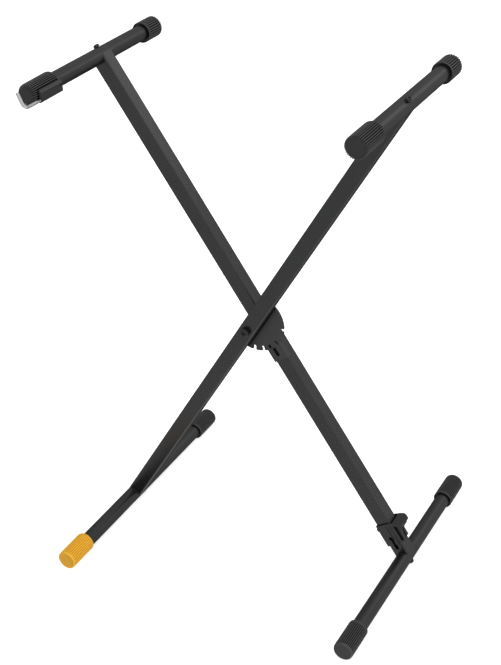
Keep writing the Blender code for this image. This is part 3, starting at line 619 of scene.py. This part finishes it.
# The spacer is real, but it is widened to stand out past the leg's side and given the painted-shadow black, as painted
# shadow for the black gap line between the leg and the plate.
spacer = make("plate_spacer_block", prism(rounded_square(12.85, 47.0, 2.0, 8, (1.85, 2.0)), -7.0, -1.3), FRONT, painted_shadow_black)
combine(spacer, [cyl("spacer_bore", 4.3, -12, 6, "Y", FRONT)])
soften(spacer, 0.35, 2, 40)
flatten(spacer, FRONT)
piece(spacer, "front_frame", "plate_coat", "plate_spacer")


# =====================================================================
# Guide bracket, pin, carriage, rod, spring
# =====================================================================
def channel_outline():
    """Sheet 1.7 mm thick, bent back round both sides of the leg."""
    half, front_y, back_y = 15.0, 5.3, 15.7
    inner = HALF + 0.3
    r_out, r_in = 2.4, 0.9
    points = [(-half, back_y)]
    for k in range(7):
        a = math.radians(180 + 90 * k / 6)
        points.append((-half + r_out + r_out * math.cos(a), front_y + r_out + r_out * math.sin(a)))
    for k in range(7):
        a = math.radians(270 + 90 * k / 6)
        points.append((half - r_out + r_out * math.cos(a), front_y + r_out + r_out * math.sin(a)))
    points += [(half, back_y), (inner, back_y)]
    for k in range(5):
        a = math.radians(0 - 90 * k / 4)
        points.append((inner - r_in + r_in * math.cos(a), front_y + 1.7 + r_in + r_in * math.sin(a)))
    for k in range(5):
        a = math.radians(270 - 90 * k / 4)
        points.append((-inner + r_in + r_in * math.cos(a), front_y + 1.7 + r_in + r_in * math.sin(a)))
    points.append((-inner, back_y))
    return points


bracket = make("pin_bracket", prism(channel_outline(), -78.0, -40.0, "Z"), REAR, plate_coat)
arch_z = -55.0
arch = [(15.0 * math.cos(math.radians(180 - 7.5 * k)), arch_z + 15.0 * math.sin(math.radians(180 - 7.5 * k)))
        for k in range(25)]
arch = [(-18, arch_z), *arch, (18, arch_z), (18, arch_z + 20), (-18, arch_z + 20)]
combine(bracket, [
    make("arch", prism(arch, 0, 20), REAR),
    make("bracket_slot", prism(slot_outline(3.4, -70.5, -44.5), 2, 9), REAR),
])
soften(bracket, 0.25, 2, 40)
flatten(bracket, REAR)
piece(bracket, "rear_frame", "plate_coat", "lock_guide_bracket")

pin = make("pin_body", turned(
    [(0, 2.3), (1.6, 2.3)] + [(r, h) for r, h in arc_points(1.6, 2.3, 2.3, 3.0, 4, False)] +
    [(2.3, 24.0), (0, 24.0)], 32, "Y", centre=(0, -47.2)), REAR, screw_black, 40)
piece(pin, "foot_release", "bright_steel", "lock_pin")

for node, mat in (("pull_rod", screw_black), ("pin_carriage", moulded_black), ("return_spring", screw_black),
                  ("rod_guide", moulded_black), ("front_pivot_sleeve", zinc_steel), ("rear_pivot_bush", nylon),
                  ("pivot_washer", nylon), ("front_leg_top_insert", zinc_steel), ("front_leg_base_insert", screw_black),
                  ("rear_leg_top_insert", zinc_steel), ("rear_leg_base_insert", screw_black)):
    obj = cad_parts[node]
    for place in obj.material_slots:
        place.material = mat


# =====================================================================
# Foot pedal
# =====================================================================
SLEEVE_IN = 13.55
LEFT, RIGHT, FRONT_Y, BACK_Y = -15.2, 16.6, 4.3, 36.1
BULGE = (8.0, 8.7)
LIP = 3.6


def tread_top(n):
    return -(419.0 + 0.466 * (n - 12.8))


def smooth_path(points, steps=5, closed=True):
    """A Catmull-Rom curve through the points."""
    out = []
    count = len(points)
    for k in range(count if closed else count - 1):
        ends = [points[(k + j - 1) % count] if closed else points[min(max(k + j - 1, 0), count - 1)] for j in range(4)]
        p0, p1, p2, p3 = (Vector(p) for p in ends)
        for j in range(steps):
            t = j / steps
            out.append(tuple(0.5 * ((2 * p1) + (p2 - p0) * t + (2 * p0 - 5 * p1 + 4 * p2 - p3) * t * t
                                    + (3 * p1 - p0 - 3 * p2 + p3) * t * t * t)))
    return out if closed else out + [tuple(points[-1])]


def sleeve_outline(left, right, front_y, back_y, corner, steps=8):
    """The sleeve seen along the leg: three small round corners and a large one, front right."""
    points = []
    for cn, cy, start in ((right - corner, back_y - corner, 0), (left + corner, back_y - corner, 90),
                          (left + corner, front_y + corner, 180)):
        for k in range(steps + 1):
            a = math.radians(start + 90 * k / steps)
            points.append((cn + corner * math.cos(a), cy + corner * math.sin(a)))
    n, y = BULGE
    for k in range(2 * steps + 1):
        a = math.radians(270 + 90 * k / (2 * steps))
        points.append((n + (right - n) * math.cos(a), y + (y - front_y) * math.sin(a)))
    return points


def flare():
    """The bore's mouth, wider at the top than the leg, with a rounded run-in."""
    low = sleeve_outline(-SLEEVE_IN + 0.05, SLEEVE_IN - 0.05, LEG_Y - SLEEVE_IN + 0.05, LEG_Y + SLEEVE_IN - 0.05, 2.8)
    high = sleeve_outline(LEFT + 0.9, RIGHT + 2.4, FRONT_Y + 0.9, BACK_Y - 1.1, 2.8)
    bm = bmesh.new()
    rings = []
    for height, share in ((-426.0, 0.0), (-423.0, 0.33), (-420.5, 0.62), (-418.6, 0.83), (-417.0, 1.0)):
        rings.append([bm.verts.new((p[0] + (q[0] - p[0]) * share, p[1] + (q[1] - p[1]) * share, height))
                      for p, q in zip(low, high)])
    skin(bm, rings)
    bm.faces.new(rings[0])
    bm.faces.new(rings[-1])
    return bm


def under_lip(n, low_end=-475.0):
    return [(n, tread_top(n) - LIP), (40.0, tread_top(40.0) - LIP), (40.0, low_end), (n, low_end)]


WEB_EDGE = smooth_path([(34.6, -433.2), (31.0, -434.8), (27.0, -436.8), (24.2, -439.6), (22.2, -443.5), (21.0, -449.0),
                        (20.5, -455.0), (17.0, -460.0)], 4, False)
TREAD_PROFILE = [(10.0, tread_top(12.8)), (14.0, tread_top(14.0)), (34.0, tread_top(34.0)),
                 (35.0, tread_top(35.0) - 1.2)] + WEB_EDGE + [(10.0, -460.0)]
TREAD_OUTLINE = smooth_path([(31.0, 6.2), (34.2, 8.2), (35.0, 11.2), (34.5, 17.0), (33.6, 24.0), (33.3, 33.6),
                             (31.6, 37.2), (27.6, 41.2), (24.6, 42.4), (18.6, 40.9), (12.6, 37.0)], 4, False) + [
    (8.0, 33.0), (8.0, 5.9), (22.0, 5.6)]

pedal = make("pedal", prism(TREAD_PROFILE, 4, 44), REAR, moulded_black)
combine(pedal, [make("tread_form", prism(TREAD_OUTLINE, -470, -400, "Z"), REAR)], "INTERSECT")
combine(pedal, [
    make("web_front", prism(under_lip(9.0), 0.0, 11.5), REAR),
    make("web_back", prism(under_lip(9.0), 26.5, 50.0), REAR),
])
combine(pedal, [make("sleeve_form", prism(
    sleeve_outline(LEFT, RIGHT, FRONT_Y, BACK_Y, 3.2), -460.013, -418.017, "Z"), REAR)], "UNION")
soften(pedal, 0.9, 4, 38)
combine(pedal, [
    make("sleeve_bore", prism(rounded_square(SLEEVE_IN, SLEEVE_IN, 2.8, 8, (0, LEG_Y)), -480, -400, "Z"), REAR),
    make("sleeve_flare", flare(), REAR),
    make("web_channel", prism([(14.6, -427.0), (19.0, -427.6), (19.0, -457.5), (14.6, -457.5)], 7.9, 11.8), REAR),
    make("web_slot", prism([(15.2, -434.0), (30.0, -434.0), (30.0, -457.0), (15.2, -457.0)], 18.6, 22.4), REAR),
    make("face_groove", prism([(5.4, -452.0), (6.7, -452.0), (6.7, -424.0), (5.4, -424.0)], 0.0, FRONT_Y + 1.6), REAR),
    make("face_notch", prism([(-0.6, -462.0), (-0.6, -449.0), (-2.9, -449.5), (-2.9, -445.6), (0.4, -443.0),
                              (4.4, -443.0), (4.4, -462.0)], 0.0, 7.4), REAR),
    cyl("cross_bore", 2.8, -22, 14.2, "X", REAR, (CROSS_Y, -CROSS_T)),
])
soften(pedal, 0.3, 2, 38)
flatten(pedal, REAR, Vector((0.466, 0, 1)).normalized())
piece(pedal, "foot_release", "moulded_black", "foot_pedal")

cross = make("cross_pin_body", turned(
    [(0, -19.4), (3.0, -19.4)] + [(r, -18.8 - 0.6 * math.cos(a)) for r, a in ((3.7, 0.6), (4.2, 1.1), (4.4, 1.57))] +
    [(4.4, -15.5), (2.5, -15.5), (2.5, 13.5), (2.1, 13.9), (0, 13.9)], 40, "X", centre=(CROSS_Y, -CROSS_T)), REAR, screw_black, 40)
piece(cross, "foot_release", "screw_black", "pedal_cross_pin")


# =====================================================================
# Key clip, its screw, and the hexagon key
# =====================================================================
KEY_X, KEY_Z = 19.5, -6.8
CLIP_LOW, CLIP_HIGH = -169.5, -117.3
CLIP_SCREW_Y, CLIP_SCREW_Z = -122.5, 1.6


def clip_outline():
    saddle = ARM_CAP_R + 0.2
    points = [(19.9, 8.7), (21.2, 7.3), (22.4, 5.4), (23.2, 4.3), (23.2, -8.6), (22.9, -9.3), (22.2, -9.9),
              (19.6, -11.4)]
    for k in range(17):
        angle = math.radians(-40 + 67 * k / 16)
        points.append((saddle * math.cos(angle), saddle * math.sin(angle)))
    return points


def key_channel():
    middle = Vector((KEY_X, KEY_Z))
    out = middle.normalized()
    side = Vector((-out.y, out.x))
    r = 2.95
    points = [middle + out * (r * math.cos(math.radians(a))) + side * (r * math.sin(math.radians(a)))
              for a in range(-90, 91, 15)]
    points += [middle - out * 5 + side * r, middle - out * 5 - side * r]
    return [(p.x, p.y) for p in points]


def groove():
    """A shallow parting groove along the clip's outer face, slightly out of level."""
    bm = bmesh.new()
    rings = []
    for y, z in ((-166.6, 4.0), (-130.0, 2.7)):
        rings.append([bm.verts.new((x, y, z + dz)) for x, dz in ((22.6, -0.35), (26.0, -0.35), (26.0, 0.35), (22.6, 0.35))])
    skin(bm, rings)
    bm.faces.new(rings[0])
    bm.faces.new(rings[1])
    return bm


clip = make("key_holder", prism(clip_outline(), CLIP_LOW, CLIP_HIGH), LEFT_ARM, moulded_black)
combine(clip, [
    make("key_channel", prism(key_channel(), CLIP_LOW - 4, -126.0), LEFT_ARM),
    cyl("clip_bore", 1.7, 10, 30, "X", LEFT_ARM, (CLIP_SCREW_Y, CLIP_SCREW_Z), 24),
    cyl("clip_seat", 2.5, 21.3, 30, "X", LEFT_ARM, (CLIP_SCREW_Y, CLIP_SCREW_Z), 32),
    make("clip_groove", groove(), LEFT_ARM),
])
soften(clip, 0.3, 2, 40)
flatten(clip, LEFT_ARM)
piece(clip, "rear_frame", "moulded_black", "key_clip")

clip_screw = make("key_holder_screw", turned(
    [(0, 8.5), (0.8, 8.5), (1.4, 10.0), (1.4, 21.6), (2.1, 21.6), (2.2, 21.7)] +
    [(r, h) for r, h in arc_points(2.2, 22.4, 1.3, 23.0, 5, True)] + [(hexagon(1.7), 23.0), (hexagon(1.5), 22.3), (0, 22.1)],
    36, "X", centre=(CLIP_SCREW_Y, CLIP_SCREW_Z)), LEFT_ARM, screw_black, 40)
piece(clip_screw, "rear_frame", "screw_black", "key_clip_screw")


def key_mesh():
    lean = math.radians(22.5)
    up = Vector((-math.sin(lean), 0, math.cos(lean)))
    along = Vector((0, 1, 0))
    corner = Vector((KEY_X, -207.6, KEY_Z))
    bend = 10.0
    side = along.cross(up).normalized()
    path = []
    long_end = corner + along * (-127.0 + 207.6)
    path += [(long_end, 0.86), (long_end - along * 0.5, 1.0)]
    for k in range(1, 8):
        path.append((long_end.lerp(corner + along * bend, k / 8), 1.0))
    for k in range(13):
        a = math.pi / 2 * k / 12
        path.append((corner + along * bend * (1 - math.sin(a)) + up * bend * (1 - math.cos(a)), 1.0))
    tip = corner + up * 25.5
    path += [(corner + up * 18, 1.0), (tip - up * 0.5, 1.0), (tip, 0.86)]
    corner_r = 2.5 / math.cos(math.pi / 6)
    section = []
    for j in range(6):
        for off in (-0.1, 0.1):
            a = math.pi / 3 * j + off
            section.append((math.cos(a), math.sin(a)))
    bm = bmesh.new()
    rings = []
    for k, (point, scale) in enumerate(path):
        before = path[max(k - 1, 0)][0]
        after = path[min(k + 1, len(path) - 1)][0]
        run = (after - before).normalized()
        out = run.cross(side).normalized()
        r = corner_r * 0.985 * scale
        rings.append([bm.verts.new(point + side * r * c + out * r * s) for c, s in section])
    skin(bm, rings)
    bm.faces.new(rings[0])
    bm.faces.new(rings[-1])
    return bm


key = make("hexagon_key", key_mesh(), LEFT_ARM, bright_steel, 20)
piece(key, "hex_key", "bright_steel", "hex_key")


# =====================================================================
# Floor, light and camera
# =====================================================================
floor_bm = bmesh.new()
reach = 9.0
floor_bm.faces.new([floor_bm.verts.new((x * reach, y * reach, -0.0004)) for x, y in ((-1, -1), (1, -1), (1, 1), (-1, 1))])
floor_mesh = bpy.data.meshes.new("floor")
floor_bm.to_mesh(floor_mesh)
floor_bm.free()
floor = bpy.data.objects.new("floor", floor_mesh)
scene.collection.objects.link(floor)
floor_mat, floor_tree, floor_shader = new_material("pale_floor")
floor_shader.inputs["Base Color"].default_value = (0.86, 0.86, 0.86, 1)
floor_shader.inputs["Roughness"].default_value = 0.9
floor_shader.inputs["Emission Color"].default_value = (1, 1, 1, 1)
floor_shader.inputs["Emission Strength"].default_value = 0.62
floor_mesh.materials.append(floor_mat)

# The floor is pale and evenly lit. It takes shadows but isn't mirrored in the coat, as if the
# stand were shot on a lit table with dark flags beyond it.
floor.visible_glossy = False
floor.visible_diffuse = False

# Soft studio surround: pale all round, a little brighter to the right, dark at the back, and bright
# straight below, where the lit floor is mirrored in the legs' round edges.
world = bpy.data.worlds.new("studio")
scene.world = world
world.use_nodes = True
sky = world.node_tree
sky_coords = sky.nodes.new("ShaderNodeTexCoord")
toward = sky.nodes.new("ShaderNodeVectorMath")
toward.operation = "DOT_PRODUCT"
toward.inputs[1].default_value = (-0.434, 0.745, -0.507)
fall = sky.nodes.new("ShaderNodeValToRGB")
stops = [(0.02, 1.0), (0.15, 0.9), (0.46, 0.48), (0.62, 0.46), (0.78, 0.26), (0.94, 0.1)]
while len(fall.color_ramp.elements) < len(stops):
    fall.color_ramp.elements.new(0.5)
for element, (place_at, level) in zip(fall.color_ramp.elements, stops):
    element.position = place_at
    element.color = (level, level, level, 1)
aside = sky.nodes.new("ShaderNodeVectorMath")
aside.operation = "DOT_PRODUCT"
aside.inputs[1].default_value = (0.139, 0.0, 0.0)
lift = sky.nodes.new("ShaderNodeMath")
lift.operation = "ADD"
lift.inputs[1].default_value = 0.86
level_of = sky.nodes.new("ShaderNodeMath")
level_of.operation = "MULTIPLY"
below = sky.nodes.new("ShaderNodeVectorMath")
below.operation = "DOT_PRODUCT"
below.inputs[1].default_value = (0.0, 0.0, -1.0)
dim = sky.nodes.new("ShaderNodeMapRange")
dim.interpolation_type = "SMOOTHSTEP"
dim.inputs["From Min"].default_value = 0.80
dim.inputs["From Max"].default_value = 0.97
dim.inputs["To Min"].default_value = 1.0
dim.inputs["To Max"].default_value = 2.5
total = sky.nodes.new("ShaderNodeMath")
total.operation = "MULTIPLY"
sky.links.new(sky_coords.outputs["Generated"], below.inputs[0])
sky.links.new(below.outputs["Value"], dim.inputs["Value"])
sky.links.new(level_of.outputs["Value"], total.inputs[0])
sky.links.new(dim.outputs["Result"], total.inputs[1])
sky.links.new(sky_coords.outputs["Generated"], toward.inputs[0])
sky.links.new(sky_coords.outputs["Generated"], aside.inputs[0])
sky.links.new(toward.outputs["Value"], fall.inputs["Fac"])
sky.links.new(aside.outputs["Value"], lift.inputs[0])
sky.links.new(lift.outputs["Value"], level_of.inputs[0])
sky.links.new(fall.outputs["Color"], level_of.inputs[1])
sky.links.new(total.outputs["Value"], sky.nodes["Background"].inputs["Strength"])
sky.nodes["Background"].inputs["Color"].default_value = (1, 1, 1, 1)


def area(name, location, target, size, power):
    data = bpy.data.lights.new(name, "AREA")
    data.shape = "RECTANGLE"
    data.size, data.size_y = size
    data.energy = power
    obj = bpy.data.objects.new(name, data)
    scene.collection.objects.link(obj)
    obj.location = location
    obj.rotation_euler = (Vector(target) - Vector(location)).to_track_quat("-Z", "Y").to_euler()
    return obj


area("overhead", (0.4, -0.3, 3.2), (0, 0, 0.4), (3.0, 3.0), 28)
area("back_strip", (1.4, 2.4, 2.1), (0, 0, 0.45), (1.2, 1.0), 2.8)
side_light = area("right_side", (3.0, -0.6, 1.6), (0, 0, 0.5), (2.0, 2.4), 20)
side_light.visible_glossy = False

scene.view_settings.view_transform = "Standard"
scene.view_settings.look = "None"
scene.view_settings.exposure = 0.0
scene.view_settings.gamma = 1.0

YAW, PITCH, ROLL = 0.5273840, 0.5316162, -0.0578326
forward = Vector((-math.sin(YAW) * math.cos(PITCH), math.cos(YAW) * math.cos(PITCH), -math.sin(PITCH)))
level = Vector((math.cos(YAW), math.sin(YAW), 0.0))
above = level.cross(forward)
right = level * math.cos(ROLL) + above * math.sin(ROLL)
up = above * math.cos(ROLL) - level * math.sin(ROLL)
camera_data = bpy.data.cameras.new("camera")
camera_data.sensor_fit = "AUTO"
camera_data.sensor_width = 36.0
camera_data.lens = 70.982
camera_data.clip_start = 0.05
camera_data.clip_end = 40.0
camera = bpy.data.objects.new("camera", camera_data)
scene.collection.objects.link(camera)
turned_to = Matrix((right, up, -forward)).transposed().to_4x4()
camera.matrix_world = Matrix.Translation((0.93264, -1.61985, 1.51064)) @ turned_to
scene.camera = camera

bpy.context.view_layer.update()
